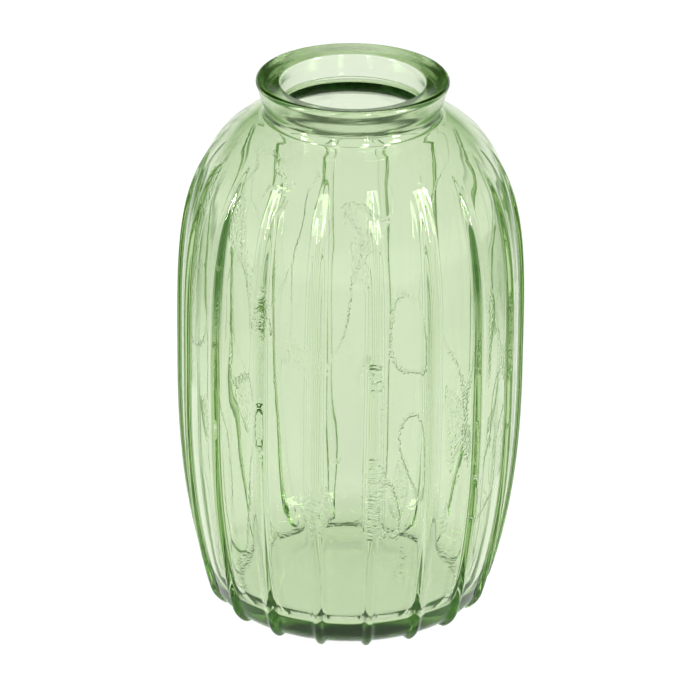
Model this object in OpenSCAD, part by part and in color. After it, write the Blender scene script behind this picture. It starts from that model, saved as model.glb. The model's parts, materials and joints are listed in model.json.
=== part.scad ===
// Ribbed glass bud vase: a mould-blown bottle with a heavy base, beaded vertical ribs and a
// thick rolled lip. Millimetres, +Z up, origin at the centre of the base, on the table.
// The whole vase is one piece of glass. Each module below is the stretch of it that a
// glassmaker names: base, body, shoulder, neck, lip and the ribs on the outside.

/* [Vase] */
// Height from the table to the crest of the lip
height = 121; // [117:1:127]
// Diameter over the ribs at the widest point
body_d = 75; // [72:1:82]
// Height of the widest point
belly_z = 56; // [52:1:60]

/* [Glass] */
// Thickness of the body and shoulder wall
wall = 3; // [2.4:0.1:3.4]
// Thickness of the floor
floor_t = 5; // [4.8:0.1:6.5]
// How far the underside is pushed up in the middle
push_up = 0.8; // [0.4:0.1:1.5]
// Width of the flat ring that the vase stands on
bearing_w = 5; // [4:0.5:8]

/* [Heel] */
// Outer rounding where the wall turns into the base
heel_r = 6.5; // [5.5:0.1:6.6]
// Inner rounding where the floor turns up into the wall
floor_fillet = 7; // [5:0.5:8]

/* [Shoulder] */
// Squareness of the shoulder curve, where 2 is an ellipse and more is squarer
shoulder_power = 3.6; // [3.4:0.1:3.8]
// How much narrower the wall is at the table than at the belly, as a share of its radius
taper = 0.198; // [0.15:0.01:0.22]
// How late the taper sets in below the belly
taper_power = 2.53; // [2.2:0.01:3]

/* [Neck and lip] */
// Diameter of the mouth
mouth_d = 30.6; // [29:0.2:31.4]
// Diameter of the neck where the collar starts
neck_d = 37; // [36:0.2:38]
// Diameter over the lip
lip_d = 41.2; // [40:0.2:43]
// Height of the collar and lip together
collar_h = 6.6; // [6.2:0.1:7]
// Height of the lip alone
lip_h = 2.7; // [2.5:0.1:3]
// How far the top of the lip falls towards the mouth
lip_fall = 0.9; // [0.5:0.1:1.1]

/* [Ribs] */
// Number of ribs around the body
rib_count = 18; // [12:2:24]
// Width of a rib
rib_w = 2.6; // [2:0.1:3.4]
// Height of a rib above the wall
rib_h = 1; // [0.6:0.1:1.3]
// Radius at which the ribs rise out of the shoulder
rib_start_r = 26; // [22:0.5:29]
// Height up to which the ribs have their full height
rib_full_z = 97; // [90:0.5:103]

/* [Hidden] */
$fn = 96;
glass = [0.66, 0.80, 0.56];

panel_r = body_d / 2 - rib_h;        // the wall between two ribs, at the belly
mouth_r = mouth_d / 2;
neck_r = neck_d / 2;
lip_r = lip_d / 2;
crown_z = height - 6.6;              // where the shoulder curve would close on the axis
crown_h = crown_z - belly_z;
shoulder_z = 92;                     // where the body ends and the shoulder starts
seam_z = height - collar_h;          // the fine line round the foot of the collar
lip_z = height - lip_h;              // where the collar ends and the lip starts
collar_top_r = lip_r - 0.7;          // the collar stays a little inside the lip
seam_fillet = 0.9;                   // rounding between the shoulder and the collar
bore_foot_z = seam_z - 1.8;          // where the straight bore ends, inside the shoulder
bore_edge_r = 1.6;                   // rounding at the foot of the bore
body_steps = 16;
shoulder_steps = 14;
arc_steps = 6;

// Radius of the wall between the ribs, at a height.
function below_belly(z) = panel_r * (1 - taper * pow((belly_z - z) / belly_z, taper_power));
function above_belly(z) =
    panel_r * pow(1 - pow((z - belly_z) / crown_h, shoulder_power), 1 / shoulder_power);
function wall_r(z) = z < belly_z ? below_belly(z) : above_belly(z);

// How far the wall leans from upright at a height, in degrees.
function lean_at(z) = atan(wall_r(z + 0.5) - wall_r(z - 0.5));

// An arc as points, from one angle to another.
function arc(centre, r, from, to, steps = arc_steps) =
    [for (i = [0:steps]) let (a = from + (to - from) * i / steps)
        centre + r * [cos(a), sin(a)]];

// A path moved sideways by a distance at each point. Positive is outwards, as the path climbs.
function unit(v) = v / norm(v);
function along(path, i) = unit(path[min(i + 1, len(path) - 1)] - path[max(i - 1, 0)]);
function moved(path, distances) =
    [for (i = [0:len(path) - 1]) let (t = along(path, i)) path[i] + distances[i] * [t[1], -t[0]]];
function reversed(path) = [for (i = [len(path) - 1:-1:0]) path[i]];

// Heel: an arc that lies on the table and runs into the leaning wall.
heel_lean = lean_at(heel_r * 0.75);
heel_top_z = heel_r * (1 - sin(heel_lean));
bearing_r = wall_r(heel_top_z) - heel_r * cos(heel_lean);
heel = arc([bearing_r, heel_r], heel_r, -90, -heel_lean);
hollow_r = bearing_r - bearing_w;    // the pushed-up part of the underside

// Outside of the body, and of the shoulder as a superellipse, from the floor's height up.
body_path = [for (i = [0:body_steps])
    let (z = floor_t + (shoulder_z - floor_t) * i / body_steps) [wall_r(z), z]];
turn_from = asin(pow((shoulder_z - belly_z) / crown_h, shoulder_power / 2));
turn_to = acos(pow((neck_r + seam_fillet) / panel_r, shoulder_power / 2));
shoulder_path = [for (i = [0:shoulder_steps])
    let (a = turn_from + (turn_to - turn_from) * i / shoulder_steps)
    [panel_r * pow(cos(a), 2 / shoulder_power),
     belly_z + crown_h * pow(sin(a), 2 / shoulder_power)]];

// Inside of the wall, parallel to the outside, with a rounded turn up from the floor.
inner_lean = lean_at(floor_t + floor_fillet * 0.75);
fillet_top_z = floor_t + floor_fillet * (1 - sin(inner_lean));
fillet_r = wall_r(fillet_top_z) - wall / cos(inner_lean) - floor_fillet * cos(inner_lean);
floor_arc = arc([fillet_r, floor_t + floor_fillet], floor_fillet, -90, -inner_lean);
outer_path = concat(body_path, [for (i = [1:shoulder_steps]) shoulder_path[i]]);
inner_path = moved(outer_path, [for (p = outer_path) -wall]);
body_inner = [for (i = [0:body_steps]) if (inner_path[i][1] > fillet_top_z + 1) inner_path[i]];
shoulder_inner = [for (i = [body_steps:len(inner_path) - 1])
    if (inner_path[i][0] > mouth_r + bore_edge_r + 0.3) inner_path[i]];

module turned(profile) {
    color(glass) rotate_extrude() polygon(profile);
}

// The heavy floor and heel, which the vase stands on. Its underside is pushed up.
module base() {
    underside = [for (i = [0:4]) let (r = hollow_r * i / 4)
        [r, push_up * (1 - pow(r / hollow_r, 2))]];
    turned(concat(underside, heel, [body_path[0], [0, floor_t]]));
}

// The tall wall, from the floor to where the shoulder starts.
module body() {
    turned(concat(body_path, reversed(body_inner), reversed(floor_arc)));
}

// The round shoulder, up to the seam under the collar, with the foot of the bore.
module shoulder() {
    turned(concat(
        shoulder_path,
        [[neck_r, seam_z], [mouth_r, seam_z]],
        arc([mouth_r + bore_edge_r, bore_foot_z], bore_edge_r, 180, 270),
        reversed(shoulder_inner)
    ));
}

// The collar, which flares from the seam to the lip.
module neck() {
    turned([[neck_r, seam_z], [collar_top_r, lip_z], [mouth_r, lip_z], [mouth_r, seam_z]]);
}

// The thick lip: rounded outside, with a top that falls towards the mouth.
module lip() {
    outer_round = 0.9;
    inner_round = 0.6;
    turned(concat(
        [[collar_top_r, lip_z]],
        arc([lip_r - outer_round, height - outer_round], outer_round, -15, 105, 8),
        arc([mouth_r + inner_round, height - lip_fall - inner_round], inner_round, 90, 180),
        [[mouth_r, lip_z]]
    ));
}

// One rib lies on the wall from the top of the shoulder to the table. It rises out of the
// shoulder, keeps its height down the body and is cut off flat by the table.
wall_under_rib = concat(
    body_path,
    [for (p = shoulder_path) if (p[0] > rib_start_r && p[1] > shoulder_z) p]
);
heel_under_rib = [for (i = [2:arc_steps]) heel[i]];
rib_fade_h = crown_z - 1.5 - rib_full_z;
function rib_height(p) = p[1] < rib_full_z ? rib_h
    : rib_h * (0.15 + 0.85 * max(0, 1 - pow((p[1] - rib_full_z) / rib_fade_h, 2)));

module rib() {
    angle = rib_w / panel_r * 180 / PI;
    foot_angle = acos(heel_r / (heel_r + rib_h));
    foot = arc([bearing_r, heel_r], heel_r + rib_h, foot_angle - 90, -heel_lean);
    crest = moved(wall_under_rib, [for (p = wall_under_rib) rib_height(p)]);
    rotate(-angle / 2) rotate_extrude(angle = angle) polygon(concat(
        [[heel_under_rib[0][0], 0]],
        foot,
        crest,
        reversed(wall_under_rib),
        reversed(heel_under_rib)
    ));
}

module ribs() {
    color(glass) for (i = [0:rib_count - 1]) rotate(360 * i / rib_count) rib();
}

base();
body();
shoulder();
neck();
lip();
ribs();
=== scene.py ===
# %% [markdown]
# # A ribbed glass bud vase
#
# This lesson builds a small mould-blown vase of pale green glass: a heavy base, a tall ribbed
# wall, a round shoulder, a short collar and a thick lip. The CAD model gives every size. Here
# the glass gets the shape of its surface and the look of its substance. The first cell loads
# the frame, which is the CAD model's pieces together with its record of mounts.

# %% Load the frame
import json
import math

import bpy
from mathutils import Matrix, Vector


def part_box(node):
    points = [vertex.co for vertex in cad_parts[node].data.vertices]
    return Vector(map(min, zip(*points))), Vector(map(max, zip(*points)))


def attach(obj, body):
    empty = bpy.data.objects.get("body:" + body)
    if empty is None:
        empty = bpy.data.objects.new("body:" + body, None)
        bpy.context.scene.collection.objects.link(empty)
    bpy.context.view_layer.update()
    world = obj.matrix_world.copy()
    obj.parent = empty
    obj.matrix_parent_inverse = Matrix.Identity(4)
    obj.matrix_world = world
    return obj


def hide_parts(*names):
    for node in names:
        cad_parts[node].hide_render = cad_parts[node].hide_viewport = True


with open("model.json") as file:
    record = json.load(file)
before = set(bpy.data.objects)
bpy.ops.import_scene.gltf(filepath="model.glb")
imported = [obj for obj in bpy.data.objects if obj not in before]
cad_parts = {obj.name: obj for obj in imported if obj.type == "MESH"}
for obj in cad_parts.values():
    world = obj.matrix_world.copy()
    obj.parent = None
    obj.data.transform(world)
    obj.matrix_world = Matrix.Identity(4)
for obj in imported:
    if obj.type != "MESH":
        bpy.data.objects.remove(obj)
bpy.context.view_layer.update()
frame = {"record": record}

# %% [markdown]
# ## Sizes
#
# The real vase was blown into a mould, so everything about its outside follows from a few
# radii and heights. They could be typed in again, but then the two models would drift apart.
# They are read from the boxes of the CAD nodes instead, and the width of the mouth from its
# mount, so the glass always has the size of the CAD model.

# %% Read the sizes
MM = 0.001


def top(node):
    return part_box(node)[1][2]


def radius(node):
    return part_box(node)[1][0]


HEIGHT = top("lip")
RIB_R = radius("ribs")                   # over the ribs, at the belly
PANEL_R = radius("body")                 # the wall between two ribs, at the belly
RIB_H = RIB_R - PANEL_R
LIP_R = radius("lip")
COLLAR_TOP_R = radius("neck")
SEAM_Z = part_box("neck")[0][2]            # the fine line at the foot of the collar
LIP_Z = top("neck")
FLOOR_Z = top("base")
mouth = next(m for m in frame["record"]["mounts"] if m["name"] == "mouth")
MOUTH_R = mouth["dims"]["r_mm"] * MM

print("height", round(HEIGHT, 4), "panel radius", round(PANEL_R, 4), "rib", round(RIB_H, 4))

# %% [markdown]
# ## The profile
#
# Cut the vase in half and its wall shows one closed outline: under the base, up the outside,
# over the lip and down the inside to the floor. Such an outline could be drawn freehand, but
# a mould is turned from smooth curves, so each stretch is an arc or a formula. Three small
# helpers give the points of an arc, of a straight line and of a path moved sideways.

# %% Points along an arc, a line and an offset path


def arc(r, z, size, start, end, steps):
    """Points on an arc about (r, z), from one angle in degrees to another."""
    turns = [math.radians(start + (end - start) * i / steps) for i in range(steps + 1)]
    return [(r + size * math.cos(t), z + size * math.sin(t)) for t in turns]


def line(start, end, steps):
    """Points from start to just before end."""
    return [
        tuple(a + (b - a) * i / steps for a, b in zip(start, end)) for i in range(steps)
    ]


def offset(path, distance):
    """The same path, moved to its left as it climbs."""
    moved = []
    for i, (r, z) in enumerate(path):
        before, after = path[max(i - 1, 0)], path[min(i + 1, len(path) - 1)]
        dr, dz = after[0] - before[0], after[1] - before[1]
        size = math.hypot(dr, dz)
        moved.append((r - dz / size * distance, z + dr / size * distance))
    return moved


# %% [markdown]
# ## The curve of the wall
#
# Below the belly the wall draws in slowly towards the table. Above it the shoulder is a
# superellipse, which is rounder than a box and squarer than an ellipse. One function gives
# the radius at any height, so the wall, the heel, the inside and the ribs all agree on it.

# %% Radius of the wall at a height
BELLY_Z = 56 * MM                        # where the vase is widest
CROWN_Z = HEIGHT - 6.6 * MM              # where the shoulder curve would close on the axis
SHOULDER_POWER = 3.6                     # 2 is an ellipse, more is squarer
TAPER = 0.198                            # how much narrower the wall is at the table
TAPER_POWER = 2.53                       # how late that taper sets in


def wall_r(z):
    """Radius of the wall between the ribs, at a height."""
    if z < BELLY_Z:
        return PANEL_R * (1 - TAPER * ((BELLY_Z - z) / BELLY_Z) ** TAPER_POWER)
    rise = (z - BELLY_Z) / (CROWN_Z - BELLY_Z)
    return PANEL_R * (1 - rise**SHOULDER_POWER) ** (1 / SHOULDER_POWER)


def lean_at(z):
    """How far the wall leans from upright, in radians."""
    step = 0.5 * MM
    return math.atan((wall_r(z + step) - wall_r(z - step)) / (2 * step))


print("radius at the table", round(wall_r(0) / MM, 2), "mm, at the belly", PANEL_R / MM)

# %% [markdown]
# ## Underside and heel
#
# A blown vase would rock on a flat bottom, so its middle is pushed up a little and it stands
# on a ring. The heel rounds that ring into the wall. As the wall leans, the heel's arc stops
# where it has the same lean, which leaves no crease between them.

# %% Underside and heel
HEEL_R = 6.5 * MM
PUSH_UP = 0.8 * MM                       # the hollow in the underside
BEARING_W = 5 * MM                       # the flat ring that it stands on
MEETS_AT = 0.75                          # a round corner ends about this far up its radius
HOLLOW_STEPS = 6

heel_lean = math.degrees(lean_at(HEEL_R * MEETS_AT))
heel_top = HEEL_R * (1 - math.sin(math.radians(heel_lean)))
BEARING_R = wall_r(heel_top) - HEEL_R * math.cos(math.radians(heel_lean))
HOLLOW_R = BEARING_R - BEARING_W

shares = [i / HOLLOW_STEPS for i in range(HOLLOW_STEPS)]
hollow = [(HOLLOW_R * share, PUSH_UP * (1 - share**2)) for share in shares]
underside = hollow + line((HOLLOW_R, 0), (BEARING_R, 0), 3)
heel = arc(BEARING_R, HEEL_R, HEEL_R, -90, -heel_lean, 12)
print("stands on a ring of radius", round(BEARING_R / MM, 2), "mm, heel", len(heel), "points")

# %% [markdown]
# ## Wall and shoulder
#
# Up the wall, even steps in height are enough. Over the shoulder they would leave long gaps
# where the curve lies down, so it is walked by its angle, as one walks round an ellipse.

# %% Wall and shoulder
NECK_R = 18.5 * MM
WALL_STEPS = 32
SHOULDER_STEPS = 24

shoulder_z = top("body")
wall = [
    (wall_r(z), z)
    for z in (heel_top + (shoulder_z - heel_top) * i / WALL_STEPS for i in range(1, WALL_STEPS))
]
shoulder_end_r = NECK_R + 1.2 * MM
turn_from = math.asin(((shoulder_z - BELLY_Z) / (CROWN_Z - BELLY_Z)) ** (SHOULDER_POWER / 2))
turn_to = math.acos((shoulder_end_r / PANEL_R) ** (SHOULDER_POWER / 2))
shoulder = []
for i in range(SHOULDER_STEPS + 1):
    turn = turn_from + (turn_to - turn_from) * i / SHOULDER_STEPS
    shoulder.append(
        (
            PANEL_R * math.cos(turn) ** (2 / SHOULDER_POWER),
            BELLY_Z + (CROWN_Z - BELLY_Z) * math.sin(turn) ** (2 / SHOULDER_POWER),
        )
    )
seam_end_z = shoulder[-1][1]
print("shoulder ends at", round(seam_end_z / MM, 2), "mm, seam at", round(SEAM_Z / MM, 2), "mm")

# %% [markdown]
# ## Seam and collar
#
# The mould ends under the collar, and the collar is worked by hand while the glass is soft.
# So the shoulder turns up in a small hollow to a fine groove, the line where the mould met
# the tool, and above it the collar widens towards the lip in two nearly straight stretches.

# %% Seam and collar
GROOVE = 0.12 * MM                       # depth of the line under the collar

turn_up = [
    (NECK_R + 0.75 * MM, seam_end_z + 0.18 * MM),
    (NECK_R + 0.42 * MM, seam_end_z + 0.45 * MM),
    (NECK_R + 0.22 * MM, seam_end_z + 0.80 * MM),
    (NECK_R + 0.12 * MM, SEAM_Z - 0.35 * MM),
    (NECK_R + 0.04 * MM, SEAM_Z - 0.10 * MM),
    (NECK_R - GROOVE, SEAM_Z),
    (NECK_R + 0.06 * MM, SEAM_Z + 0.10 * MM),
]
collar_foot = (NECK_R + 0.12 * MM, SEAM_Z + 0.3 * MM)
waist = (NECK_R + 0.90 * MM, SEAM_Z + 2 * MM)
collar_top = (COLLAR_TOP_R, LIP_Z)
collar = line(collar_foot, waist, 3) + line(waist, collar_top, 4)
print("collar widens from", round(NECK_R / MM, 2), "to", round(COLLAR_TOP_R / MM, 2), "mm")

# %% [markdown]
# ## Lip
#
# A cut edge of glass is sharp, so it is melted round in a flame. That leaves a fat round
# outside, a top that slopes gently in to the mouth, and a smaller round on the mouth's edge:
# an arc, a line and an arc.

# %% Lip
OUTER_ROUND = 0.9 * MM
INNER_ROUND = 0.6 * MM
LIP_FALL = 0.9 * MM                      # how much lower the top is at the mouth
LIP_LEAN = 0.12 * MM                     # the flame drew the edge of the lip in a little
TOP_DROP = 0.10 * MM                     # where the slope starts, just under the full height
TOP_STEP = 0.7 * MM                      # and how far in from the centre of the outer round

outer_centre_r = LIP_R - LIP_LEAN - OUTER_ROUND
inner_centre = (MOUTH_R + INNER_ROUND, HEIGHT - LIP_FALL - INNER_ROUND)
lip = (
    [collar_top]
    + arc(outer_centre_r, HEIGHT - OUTER_ROUND, OUTER_ROUND, -15, 105, 12)
    + line(
        (outer_centre_r - TOP_STEP, HEIGHT - TOP_DROP),
        (MOUTH_R + INNER_ROUND, HEIGHT - LIP_FALL),
        3,
    )
    + arc(*inner_centre, INNER_ROUND, 90, 180, 6)
)
outside = underside + heel + wall + shoulder + turn_up + collar + lip
print("outside rows:", len(outside))

# %% [markdown]
# ## Inside
#
# The inside starts with the bore of the mouth and opens out under the shoulder. From there
# the wall is even, so the inside is simply the outside moved in by its thickness. At the foot
# a wide fillet leads into the flat floor, because thick glass can't follow a sharp corner.

# %% Inside of the profile
WALL = 3 * MM
FLOOR_FILLET = 7 * MM
BORE_FOOT_Z = SEAM_Z - 1.8 * MM
BORE_EDGE_R = 1.6 * MM                   # the round edge where the bore opens into the body
FLOOR_GAP = 1.5 * MM                     # left free between the fillet and the first wall point
BORE_GAP = 0.6 * MM                      # the same, between the last one and the bore's edge
FLAT_FROM = 0.85                         # share of the floor's radius where even steps begin

bore_top = (MOUTH_R, inner_centre[1] - 1.2 * MM)
bore = line(bore_top, (MOUTH_R, BORE_FOOT_Z), 3) + arc(
    MOUTH_R + BORE_EDGE_R, BORE_FOOT_Z, BORE_EDGE_R, 180, 270, 6
)

inner_lean = math.degrees(lean_at(FLOOR_Z + FLOOR_FILLET * MEETS_AT))
lean = math.radians(inner_lean)
fillet_top = FLOOR_Z + FLOOR_FILLET * (1 - math.sin(lean))
fillet_r = wall_r(fillet_top) - WALL / math.cos(lean) - FLOOR_FILLET * math.cos(lean)
inner_wall = [
    (r, z)
    for r, z in offset(wall[::2] + shoulder, WALL)
    if z > fillet_top + FLOOR_GAP and r > MOUTH_R + BORE_EDGE_R + BORE_GAP
]
fillet = arc(fillet_r, FLOOR_Z + FLOOR_FILLET, FLOOR_FILLET, -inner_lean, -90, 8)
floor = line((fillet_r * FLAT_FROM, FLOOR_Z), (0, FLOOR_Z), 5)
inside = bore + inner_wall[::-1] + fillet + floor + [(0, FLOOR_Z)]
profile = outside + inside
print("inside rows:", len(inside), "all rows:", len(profile))

# %% [markdown]
# ## Drawing it
#
# A Screw modifier could turn the outline, but its steps are all alike. Drawn in edit mode
# instead, vertex after vertex, the outline can be spun in wide and in narrow steps. It is
# drawn in the half-plane where the first rib ends.

# %% Draw the outline of the wall
RIB_HALF = math.radians(2.3)             # half of the slice that holds a rib


def start_object(name):
    """A new object of one vertex at the origin, in edit mode, with nothing else selected."""
    bpy.ops.object.select_all(action="DESELECT")
    bpy.ops.mesh.primitive_plane_add(size=1 * MM, location=(0, 0, 0))
    made = bpy.context.object
    made.name = name
    made.data.name = name
    bpy.ops.object.mode_set(mode="EDIT")
    bpy.ops.mesh.select_all(action="SELECT")
    bpy.ops.mesh.merge(type="CENTER")
    return made


def draw(points, turn):
    """Extrudes the selected vertex from point to point, in the half-plane at an angle."""
    here = Vector((0, 0, 0))
    for r, z in points:
        there = Vector((r * math.cos(turn), r * math.sin(turn), z))
        step = there - here
        if here.length == 0:
            bpy.ops.transform.translate(value=step)
        else:
            bpy.ops.mesh.extrude_region_move(TRANSFORM_OT_translate={"value": step})
        here = there


vase = start_object("vase_glass")
draw(profile, RIB_HALF)
bpy.ops.object.mode_set(mode="OBJECT")
print("outline:", len(vase.data.vertices), "vertices")

# %% [markdown]
# ## Spinning it
#
# The ribs need close columns of faces and the panels between them don't, so one rib and one
# panel are spun with steps of their own. That one slice is then copied round, as one cavity
# of the mould repeats. Where the copies meet, and on the axis, the doubles are merged, which
# closes the glass, and then its normals are made to point outwards.

# %% Spin one rib and one panel, then copy the slice round
RIB_COUNT = 18
RIB_COLUMNS = 12
PANEL_COLUMNS = 10
SLICE = 2 * math.pi / RIB_COUNT
WELD = 0.002 * MM                        # vertices closer than this are one

bpy.ops.object.mode_set(mode="EDIT")
bpy.ops.mesh.select_all(action="SELECT")
bpy.ops.mesh.spin(steps=RIB_COLUMNS, angle=2 * RIB_HALF, center=(0, 0, 0), axis=(0, 0, 1))
bpy.ops.mesh.spin(
    steps=PANEL_COLUMNS, angle=SLICE - 2 * RIB_HALF, center=(0, 0, 0), axis=(0, 0, 1)
)
bpy.ops.mesh.select_all(action="SELECT")
bpy.ops.mesh.spin(
    steps=RIB_COUNT - 1,
    angle=SLICE * (RIB_COUNT - 1),
    dupli=True,
    center=(0, 0, 0),
    axis=(0, 0, 1),
)
bpy.ops.mesh.select_all(action="SELECT")
bpy.ops.mesh.remove_doubles(threshold=WELD)
bpy.ops.mesh.normals_make_consistent(inside=False)
bpy.ops.object.mode_set(mode="OBJECT")
print("whole turn:", len(vase.data.vertices), "vertices")

# %% [markdown]
# ## Raising the ribs
#
# A rib is a bead on the outside of the wall: full height down the body, fading out on the
# shoulder, and cut off flat where it wraps under the heel and meets the table. It could be
# extruded, but that leaves hard corners. A weight on each vertex says how much of the bead it
# has, and a Displace modifier pushes the surface out along its normals by that weight.

# %% The bead of a rib
RIB_FADE = (20 * MM, 37 * MM)            # radii between which a rib grows on the shoulder
RIB_EASE = 4.5                           # how late it grows between them
BEAD_HALF = RIB_HALF * 1.02              # a hair wider than its columns of faces
BEAD_FULL = 0.8                          # power of the cosine: blunt on a full bead
BEAD_SOFTER = 1.2                        # and how much is added to it as the bead fades


def smooth(low, high, value):
    """0 below low, 1 above high, and an even curve between them."""
    t = min(max((value - low) / (high - low), 0), 1)
    return t * t * (3 - 2 * t)


def angle_from_rib(point):
    """Angle to the middle of the nearest rib, in radians."""
    turn = math.atan2(point.y, point.x) % SLICE
    return min(turn, SLICE - turn)


def bead(turn, softness):
    """Height of the bead across its width, from 0 to 1. A soft one runs out into the wall."""
    across = turn / BEAD_HALF
    power = BEAD_FULL + BEAD_SOFTER * softness
    return math.cos(math.pi / 2 * across) ** power if across < 1 else 0


def rib_length(r, z):
    """How much of its height the bead has at a point on the outside of the wall."""
    if z < heel_top and r >= BEARING_R:
        down = (HEEL_R - z) / math.hypot(r - BEARING_R, HEEL_R - z)
        return min(1, HEEL_R * (1 / max(down, 0.01) - 1) / RIB_H)
    if z < heel_top:
        return 0
    return smooth(*RIB_FADE, r) ** RIB_EASE if z > BELLY_Z else 1


for height in (10 * MM, BELLY_Z, 95 * MM, 105 * MM):
    share = rib_length(wall_r(height), height)
    print("rib at", round(height / MM), "mm:", round(share * RIB_H / MM, 2), "mm high")

# %% Weigh the ribs


def on_outside(r, z):
    """True on the outer face of the wall, from the heel to the top of the shoulder."""
    if z > seam_end_z:
        return False
    return z < heel_top or r > wall_r(min(z, CROWN_Z - 0.001 * MM)) - WALL / 3


ribs = vase.vertex_groups.new(name="ribs")
count = 0
for v in vase.data.vertices:
    r = math.hypot(v.co.x, v.co.y)
    if r < RIB_FADE[0] or not on_outside(r, v.co.z):
        continue
    length = rib_length(r, v.co.z)
    weight = bead(angle_from_rib(v.co), 1 - length) * length
    if weight > 0:
        ribs.add([v.index], weight, "REPLACE")
        count += 1
print("vertices in ribs:", count)

# %% Push them out
bpy.ops.object.select_all(action="DESELECT")
vase.select_set(True)
bpy.context.view_layer.objects.active = vase
push = vase.modifiers.new("ribs", "DISPLACE")
push.vertex_group = "ribs"
push.strength = RIB_H
push.mid_level = 0
bpy.ops.object.modifier_apply(modifier=push.name)
bpy.ops.object.shade_smooth()
print("radius over ribs:", round(max(v.co.x for v in vase.data.vertices), 5))

# %% [markdown]
# ## Marks for the finishes
#
# The glass is one piece, but its surface has three histories. The inside chilled in the air,
# the foot took the roughness of the mould, and the collar and lip were softened in a flame.
# Three materials would cut the clear surface into parts. Instead each vertex keeps three
# values from 0 to 1, which the one material reads as attributes and fades between.

# %% Mark the faces of the wall
INNER_TOP = BORE_FOOT_Z - 3 * MM         # the chill marks end here, under the bore
CHILL_FADE = 8 * MM                      # and fade over this height at both ends
FOOT_Z = (0.4 * MM, 0.9 * MM)            # the rough foot fades between these heights
HEEL_Z = (3.4 * MM, 4.4 * MM)            # and the milder roughness of the heel here
HEEL_SHARE = 0.45


def chilled(r, z):
    """The inner face of the wall, fading out at the floor and at the bore."""
    if not FLOOR_Z + MM < z < INNER_TOP or on_outside(r, z):
        return 0
    low = smooth(FLOOR_Z + MM, fillet_top + CHILL_FADE, z)
    return low * (1 - smooth(INNER_TOP - CHILL_FADE, INNER_TOP, z))


def stippled(r, z):
    """The foot of the heel, where the mould is a little rough, and less so higher up."""
    foot = smooth(BEARING_R - 1.6 * MM, BEARING_R, r) if z < FOOT_Z[1] else 0
    if r < BEARING_R or z > HEEL_Z[1]:
        return foot
    return max(foot * (1 - smooth(*FOOT_Z, z)), HEEL_SHARE * (1 - smooth(*HEEL_Z, z)))


def polished(r, z):
    """The outside of the collar and the lip."""
    return smooth(SEAM_Z, SEAM_Z + MM, z) if r > MOUTH_R + 0.1 * MM else 0


def mark_faces(name, share):
    """Keeps a value from 0 to 1 on every vertex, found from its radius and height."""
    values = [share(math.hypot(v.co.x, v.co.y), v.co.z) for v in vase.data.vertices]
    vase.data.attributes.new(name, "FLOAT", "POINT").data.foreach_set("value", values)
    print(name, "on", sum(v > 0 for v in values), "vertices")
    return values


chill = mark_faces("chill", chilled)
mark_faces("stipple", stippled)
mark_faces("satin", polished)

# %% [markdown]
# ## Ripples inside
#
# The mould shapes the outside, but nothing touches the inside while the glass is blown. It
# chills unevenly, so the wall is a little thicker here and thinner there, and what is seen
# through it bends. Sculpting could do that, but a second Displace modifier with a soft cloud
# texture is quicker and evenly spread. The clouds follow an empty that is taller than wide,
# because the glass was drawn upwards as it chilled.

# %% Swell the inner wall
SWELL = 0.35 * MM
CLOUD = 9 * MM
DRAWN_UP = 2.2                           # how much longer the clouds are upwards


def stretched_space(name, stretch):
    """An empty whose space is longer in Z, for a texture to follow."""
    made = bpy.data.objects.new(name, None)
    bpy.context.scene.collection.objects.link(made)
    made.scale = (1, 1, stretch)
    return made


inner = vase.vertex_groups.new(name="inner_wall")
for i, weight in enumerate(chill):
    if weight > 0:
        inner.add([i], weight, "REPLACE")

clouds = bpy.data.textures.new("swell", "CLOUDS")
clouds.noise_scale = CLOUD
clouds.noise_depth = 1
space = stretched_space("swell_space", DRAWN_UP)
wave = vase.modifiers.new("swell", "DISPLACE")
wave.texture = clouds
wave.texture_coords = "OBJECT"
wave.texture_coords_object = space
wave.vertex_group = "inner_wall"
wave.strength = SWELL
wave.mid_level = 0.5
before = [v.co.copy() for v in vase.data.vertices]
bpy.context.view_layer.update()
bpy.ops.object.modifier_apply(modifier=wave.name)
bpy.data.objects.remove(space)
moved = max((v.co - b).length for v, b in zip(vase.data.vertices, before))
print("the inner wall moved by up to", round(moved / MM, 3), "mm")

# %% [markdown]
# ## Nodes for the finishes
#
# The finishes are patterns worked out from a place on the glass, not pictures wrapped round
# it, so they have no seam and stay sharp close up. A few helpers add the nodes that they
# have in common, and keep the wiring out of the way of the ideas.

# %% Helpers for shader nodes


def node_of(tree, kind, **values):
    """A new shader node with its sockets set by name."""
    node = tree.nodes.new(kind)
    for name, value in values.items():
        node.inputs[name.replace("_", " ")].default_value = value
    return node


def maths(tree, kind, first, second=None, third=None):
    """A Math node on sockets or numbers. Returns its output."""
    node = tree.nodes.new("ShaderNodeMath")
    node.operation = kind
    for i, value in enumerate(v for v in (first, second, third) if v is not None):
        if isinstance(value, (int, float)):
            node.inputs[i].default_value = value
        else:
            tree.links.new(value, node.inputs[i])
    return node.outputs[0]


def place_of(tree):
    """The place on the piece, in metres."""
    return tree.nodes.new("ShaderNodeTexCoord").outputs["Object"]


def stretched(tree, stretch, shift=(0, 0, 0)):
    """The place on the piece, moved and scaled in Z. Under 1, a pattern grows taller."""
    node = node_of(tree, "ShaderNodeMapping", Location=shift, Scale=(1, 1, stretch))
    tree.links.new(place_of(tree), node.inputs["Vector"])
    return node.outputs["Vector"]


def noise(tree, place, scale, detail=0.0):
    """A noise from 0 to 1 at a place, with scale in features to the metre."""
    node = node_of(tree, "ShaderNodeTexNoise", Scale=scale, Detail=detail)
    tree.links.new(place, node.inputs["Vector"])
    return node.outputs[0]


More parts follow.
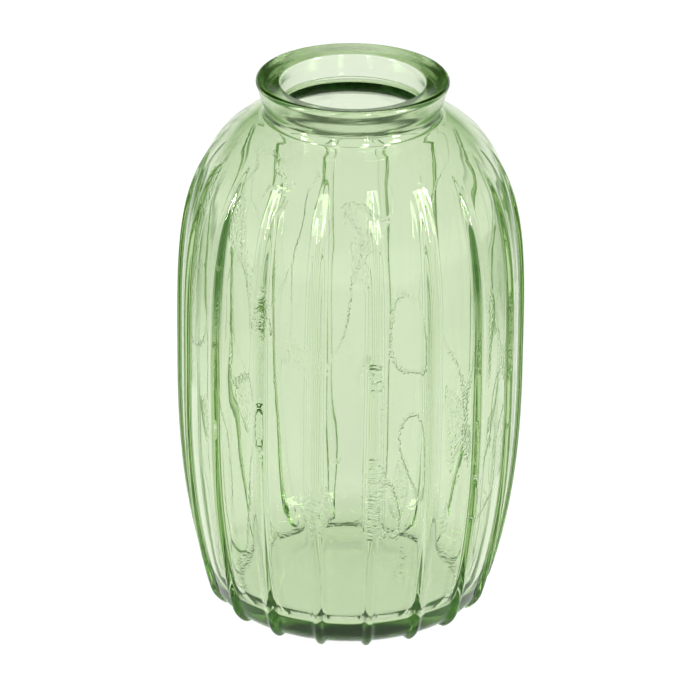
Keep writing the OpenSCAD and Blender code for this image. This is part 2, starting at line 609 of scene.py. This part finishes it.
def fall(tree, value, low, high):
    """1 at low, 0 at high, and an even curve between them."""
    node = tree.nodes.new("ShaderNodeMapRange")
    node.interpolation_type = "SMOOTHSTEP"
    node.inputs["From Min"].default_value = low
    node.inputs["From Max"].default_value = high
    node.inputs["To Min"].default_value = 1
    node.inputs["To Max"].default_value = 0
    tree.links.new(value, node.inputs["Value"])
    return node.outputs[0]


def mark(tree, name):
    """A value stored on the vertices."""
    node = tree.nodes.new("ShaderNodeAttribute")
    node.attribute_name = name
    return node.outputs["Fac"]


print("marks to read:", [a.name for a in vase.data.attributes if a.data_type == "FLOAT"])

# %% [markdown]
# ## Chill marks
#
# Where hot glass touched air or tool in jerks, its inside has fine wandering lines, like the
# shore lines of a map, and here and there a rough patch. Drawing each by hand would be slow.
# A map's contours come from one slow noise: a Ping-Pong node folds its height at even steps,
# and only the narrow bottom of each fold is kept. A second noise says where lines are seen
# at all, and a fine one breaks them into grains.

# %% Chill lines and rough patches
LINE_STRETCH = 0.34                      # lines run about three times as far upwards
LINE_SCALE = 75.0                        # all scales are in features to the metre
LINE_STEP = 0.11                         # height of the noise from one fold to the next
LINE_WIDTH = 0.012
JITTER, JITTER_SCALE = 0.050, 1300.0     # a fine noise that shakes the lines
SEEN, SEEN_SCALE = (0.60, 0.46), 48.0    # where a noise has these values, all or no lines show
GRAIN, GRAIN_FLOOR, GRAIN_SCALE = 1.5, 0.15, 2600.0
PATCH_STRETCH = 0.36
PATCH_SHIFT = (0.3, 0.1, 0.2)            # takes the patches away from the lines' own noise
PATCH, PATCH_SCALE = (0.72, 0.66), 130.0
PATCH_GRAIN_SCALE = 1500.0
PATCH_WEIGHT = 1.6                       # height of a patch, where a line is 1


def chill_lines(tree):
    """Contours of a soft noise, broken up and seen only in places."""
    place = stretched(tree, LINE_STRETCH)
    soft = noise(tree, place, LINE_SCALE, 1.0)
    jitter = maths(tree, "MULTIPLY", noise(tree, place_of(tree), JITTER_SCALE, 2.0), JITTER)
    steps = maths(tree, "PINGPONG", maths(tree, "ADD", soft, jitter), LINE_STEP)
    contour = fall(tree, steps, 0.0, LINE_WIDTH)
    seen = fall(tree, noise(tree, place, SEEN_SCALE), *SEEN)
    fine = noise(tree, place_of(tree), GRAIN_SCALE)
    grain = maths(tree, "MULTIPLY_ADD", fine, GRAIN, GRAIN_FLOOR)
    return maths(tree, "MULTIPLY", maths(tree, "MULTIPLY", contour, seen), grain)


def rough_patches(tree):
    """A few small tall patches of grain."""
    aside = stretched(tree, PATCH_STRETCH, PATCH_SHIFT)
    patch = fall(tree, noise(tree, aside, PATCH_SCALE), *PATCH)
    return maths(tree, "MULTIPLY", patch, noise(tree, place_of(tree), PATCH_GRAIN_SCALE, 1.0))


def chill_marks(tree):
    """Lines and patches together, on the inner wall only."""
    both = maths(tree, "MULTIPLY_ADD", rough_patches(tree), PATCH_WEIGHT, chill_lines(tree))
    return maths(tree, "MULTIPLY", both, mark(tree, "chill"))


print("the hills under the chill lines are about", round(1000 / LINE_SCALE), "mm wide")

# %% [markdown]
# ## Rough foot and soft collar
#
# The foot of the heel has a pebbled skin from the mould, which breaks the light under it into
# speckles. The collar has the faint level streaks of the tool that shaped it. Each is one
# noise, and the streaks' noise is pressed flat to lie round the collar. All these marks are
# under 0.4 mm high and much finer than a face of the mesh, so they are bumps.

# %% Foot and collar
STIPPLE, STIPPLE_SCALE = 3.0, 950.0      # height of the pebbles, where a chill line is 1
STREAK, STREAK_SCALE = 0.3, 220.0
STREAK_STRETCH = 5                       # over 1, a pattern is pressed flat
RELIEF = 0.12 * MM                       # height of a chill line


def pebbles(tree):
    grain = maths(tree, "MULTIPLY", noise(tree, place_of(tree), STIPPLE_SCALE, 2.0), STIPPLE)
    return maths(tree, "MULTIPLY", grain, mark(tree, "stipple"))


def tool_streaks(tree):
    level = noise(tree, stretched(tree, STREAK_STRETCH), STREAK_SCALE, 2.0)
    return maths(tree, "MULTIPLY", maths(tree, "MULTIPLY", level, STREAK), mark(tree, "satin"))


def relief_of(tree):
    """A Bump node with all marks on it. Returns its normal."""
    marks = maths(tree, "ADD", chill_marks(tree), pebbles(tree))
    bump = node_of(tree, "ShaderNodeBump", Strength=1.0, Distance=RELIEF)
    tree.links.new(maths(tree, "ADD", marks, tool_streaks(tree)), bump.inputs["Height"])
    return bump.outputs["Normal"]


print("pebbles up to", round(STIPPLE * RELIEF / MM, 2), "mm")

# %% [markdown]
# ## The substance
#
# Coloured glass is not painted: with each millimetre inside it, light loses a little green,
# more red and most blue, so thick places are darker and greener than thin ones. A tinted
# surface alone would look like film. So most of the colour is a Volume Absorption shader
# inside a clear Principled surface with glass's own index, 1.5. The surface adds a little
# colour of its own, so that the thin wall isn't too pale while the thick heel stays clear.
# What it mirrors is tinted too, because light that is trapped in the wall is mirrored many
# times and would come out grey. The flame left the collar a touch less sharp, so its
# roughness follows its mark.

# %% Green glass
ABSORB = (0.0400, 0.0250, 0.0570)        # share of each colour lost in a millimetre
SKIN = (0.903, 0.935, 0.860, 1)          # share of each colour let through one face
SHEEN = (0.62, 0.82, 0.50, 1)            # colour of what the glass reflects
SATIN = 0.16                             # roughness of the collar and lip


def green_glass():
    made = bpy.data.materials.new("green_glass")
    made.use_nodes = True
    tree = made.node_tree
    tree.nodes.clear()
    out = tree.nodes.new("ShaderNodeOutputMaterial")
    surface = node_of(
        tree,
        "ShaderNodeBsdfPrincipled",
        Base_Color=SKIN,
        Roughness=0.0,
        Specular_Tint=SHEEN,
        IOR=1.5,
        Transmission_Weight=1.0,
    )
    tree.links.new(relief_of(tree), surface.inputs["Normal"])
    rough = maths(tree, "MULTIPLY", mark(tree, "satin"), SATIN)
    tree.links.new(rough, surface.inputs["Roughness"])
    strongest = max(ABSORB)
    tint = node_of(
        tree,
        "ShaderNodeVolumeAbsorption",
        Color=(*[1 - a / strongest for a in ABSORB], 1),
        Density=strongest / MM,
    )
    tree.links.new(surface.outputs["BSDF"], out.inputs["Surface"])
    tree.links.new(tint.outputs["Volume"], out.inputs["Volume"])
    return made


vase.data.materials.append(green_glass())
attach(vase, "root")
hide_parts("base", "body", "shoulder", "neck", "lip", "ribs")
print("let through by 10 mm of glass:", [round(math.exp(-10 * a), 2) for a in ABSORB])

# %% [markdown]
# ## The lit table
#
# Glass shows its surroundings more than itself, so they matter as much as its material. Such
# things are shot on a table that glows white, kept small. Straight through, the wall shows
# the white table, and where it bends the light far, at the edge, the ribs and the heel, it
# shows the darkness past it and is drawn in dark lines. On an endless white floor those
# lines would be missing. The table's light fades out over a few centimetres at its edge,
# and farther off the floor of the room is pale again.
# The dark part is only there for the glass: a Light Path node keeps the floor itself plain
# and pale wherever it is looked at directly, which keeps the picture calm from every side.

# %% Floor
TABLE_SIZE = 12
TABLE_Z = -0.2 * MM                      # just under the vase, so the faces don't coincide
LIT_SIDE = 0.22                          # half width of the lit part
LIT_NEAR = 0.14                          # how far it comes to the front
LIT_BLUR = 0.08                          # width of its soft edge
PALE_FROM = 0.6                          # the floor of the room is pale again from here
GLOW = 0.95
TABLE_EDGE = (0.030, 0.15, 0.004, 1)     # the table past its lit part


def seen_directly(tree):
    """1 for what is looked at itself, 0 for what is seen in or through the glass."""
    return tree.nodes.new("ShaderNodeLightPath").outputs["Is Camera Ray"]


def pale_floor():
    made = bpy.data.materials.new("pale_floor")
    made.use_nodes = True
    tree = made.node_tree
    surface = tree.nodes["Principled BSDF"]
    surface.inputs["Base Color"].default_value = (0.05, 0.05, 0.05, 1)
    surface.inputs["Roughness"].default_value = 0.9
    surface.inputs["Emission Strength"].default_value = GLOW
    split = tree.nodes.new("ShaderNodeSeparateXYZ")
    tree.links.new(place_of(tree), split.inputs[0])
    side = maths(tree, "SUBTRACT", LIT_SIDE, maths(tree, "ABSOLUTE", split.outputs["X"]))
    near = maths(tree, "ADD", split.outputs["Y"], LIT_NEAR)
    span = tree.nodes.new("ShaderNodeVectorMath")
    span.operation = "LENGTH"
    tree.links.new(place_of(tree), span.inputs[0])
    far = maths(tree, "SUBTRACT", span.outputs["Value"], PALE_FROM)
    plain = maths(tree, "MULTIPLY", seen_directly(tree), LIT_BLUR)
    reach = maths(tree, "MAXIMUM", maths(tree, "MINIMUM", side, near), plain)
    reach = maths(tree, "MAXIMUM", reach, far)
    ramp = tree.nodes.new("ShaderNodeValToRGB")
    tree.links.new(reach, ramp.inputs["Fac"])
    dark, lit = ramp.color_ramp.elements
    dark.position, dark.color = 0.0, TABLE_EDGE
    lit.position, lit.color = LIT_BLUR, (1, 1, 1, 1)
    tree.links.new(ramp.outputs["Color"], surface.inputs["Emission Color"])
    return made


bpy.ops.object.select_all(action="DESELECT")
bpy.ops.mesh.primitive_plane_add(size=TABLE_SIZE, location=(0, 0, TABLE_Z))
table = bpy.context.object
table.name = "floor"
table.data.materials.append(pale_floor())
print("lit part of the table:", 2 * LIT_SIDE, "m wide")

# %% [markdown]
# ## The room
#
# Level with the table the room is white, which lets the far edge of the floor melt into the
# backdrop, and it turns to a deep green dusk above. The vase reflects that dusk on its
# shoulder and carries it down its ribs. A black room would make those lines look like ink.
# Like the dark part of the table, the dusk is only there for the glass.

# %% World
DUSK = (0.13, 0.32, 0.045, 1)            # the room above the table
DUSK_RISE = 0.25                         # sine of the angle where the white has gone


def room():
    made = bpy.data.worlds.new("studio")
    made.use_nodes = True
    tree = made.node_tree
    back = tree.nodes["Background"]
    back.inputs["Strength"].default_value = 1.0
    where = tree.nodes.new("ShaderNodeTexCoord")
    split = tree.nodes.new("ShaderNodeSeparateXYZ")
    ramp = tree.nodes.new("ShaderNodeValToRGB")
    tree.links.new(where.outputs["Generated"], split.inputs[0])
    in_glass = maths(tree, "SUBTRACT", 1, seen_directly(tree))
    rise = maths(tree, "MULTIPLY", split.outputs["Z"], in_glass)
    tree.links.new(rise, ramp.inputs["Fac"])
    tree.links.new(ramp.outputs["Color"], back.inputs["Color"])
    level, high = ramp.color_ramp.elements
    level.position, level.color = 0.0, (1, 1, 1, 1)
    high.position, high.color = DUSK_RISE, DUSK
    return made


scene = bpy.context.scene
scene.view_settings.view_transform = "Standard"
scene.world = room()
print("dusk from", round(math.degrees(math.asin(DUSK_RISE))), "degrees up")

# %% [markdown]
# ## Lamps
#
# The bright flecks high on the ribs are mirror images of long lamps. A point lamp would give
# dots, so each lamp is a strip. A strip is placed by the two directions of its ends as seen
# from the vase: there the bead of a rib mirrors it to the camera, and only there. Two wide
# and two narrow ones stand in front, and two behind light the far side of the mouth.

# %% Lamps
LAMP_AIM = Vector((0, 0, 0.10))          # the shoulder of the vase
FRONT_AWAY, FRONT_LIGHT = 0.8, 45
BACK_AWAY, BACK_LIGHT = 0.9, 16


def towards(around, up):
    """A direction from the vase: degrees round from its front, and degrees up."""
    turn, rise = math.radians(around), math.radians(up)
    flat = math.cos(rise)
    return Vector((math.sin(turn) * flat, -math.cos(turn) * flat, math.sin(rise)))


def softbox(name, low, high, width, away, brightness):
    """A strip lamp that faces the vase, between a low and a high direction."""
    foot, head = towards(*low) * away, towards(*high) * away
    length = (head - foot).length
    lamp = bpy.data.lights.new(name, "AREA")
    lamp.shape = "RECTANGLE"
    lamp.size, lamp.size_y = width, length
    lamp.energy = brightness * math.pi * width * length
    made = bpy.data.objects.new(name, lamp)
    scene.collection.objects.link(made)
    out = ((foot + head) / 2).normalized()
    along = (head - foot).normalized()
    facing = Matrix((along.cross(out), along, out)).transposed().to_4x4()
    made.matrix_world = Matrix.Translation(LAMP_AIM + (foot + head) / 2) @ facing
    print(name, round(length, 2), "m long,", round(lamp.energy, 1), "W")


softbox("softbox_left", (-60, 8), (-71, 43), 0.10, FRONT_AWAY, FRONT_LIGHT)
softbox("softbox_right", (57, 9), (69, 43), 0.12, FRONT_AWAY, FRONT_LIGHT)
softbox("strip_left", (-21, 14), (-27, 50), 0.04, FRONT_AWAY, FRONT_LIGHT)
softbox("strip_right", (19, 17), (25, 57), 0.06, FRONT_AWAY, FRONT_LIGHT)
softbox("back_left", (-153, 60), (-166, 69), 0.10, BACK_AWAY, BACK_LIGHT)
softbox("back_right", (151, 58), (170, 69), 0.10, BACK_AWAY, BACK_LIGHT)

# %% [markdown]
# ## Camera
#
# The camera looks down into the mouth from almost a metre away through a long lens, which
# keeps the sides of the vase nearly parallel. Light crosses many faces of glass on its way,
# and each crossing is a bounce, so the limit on bounces is raised or the glass turns black.

# %% Camera
CAMERA_AWAY = 0.9528
LOOK_DOWN = 25.12                        # in degrees, like the next two
AROUND = 1.5
ROLL = 0.6
LOOK_AT = Vector((0, 0, 0.0575))
LENS = 226.234                           # focal length in mm, on a sensor 36 mm wide
BOUNCES = 40

eye = bpy.data.cameras.new("camera")
eye.sensor_width = 36
eye.lens = LENS
eye.clip_start, eye.clip_end = 0.01, 50
camera = bpy.data.objects.new("camera", eye)
scene.collection.objects.link(camera)
back = towards(AROUND, LOOK_DOWN)
aim = (-back).to_track_quat("-Z", "Y").to_matrix().to_4x4()
place = Matrix.Translation(LOOK_AT + back * CAMERA_AWAY)
camera.matrix_world = place @ aim @ Matrix.Rotation(math.radians(ROLL), 4, "Z")
scene.camera = camera

scene.cycles.max_bounces = BOUNCES
scene.cycles.transmission_bounces = BOUNCES
scene.cycles.glossy_bounces = BOUNCES
print("camera at", tuple(round(x, 3) for x in camera.matrix_world.translation))

# %% [markdown]
# ## Bringing the scene up to date
#
# A displaced surface can end up larger than it was meant to be. The last cell only brings the
# scene up to date.

# %% Update the scene
bpy.context.view_layer.update()
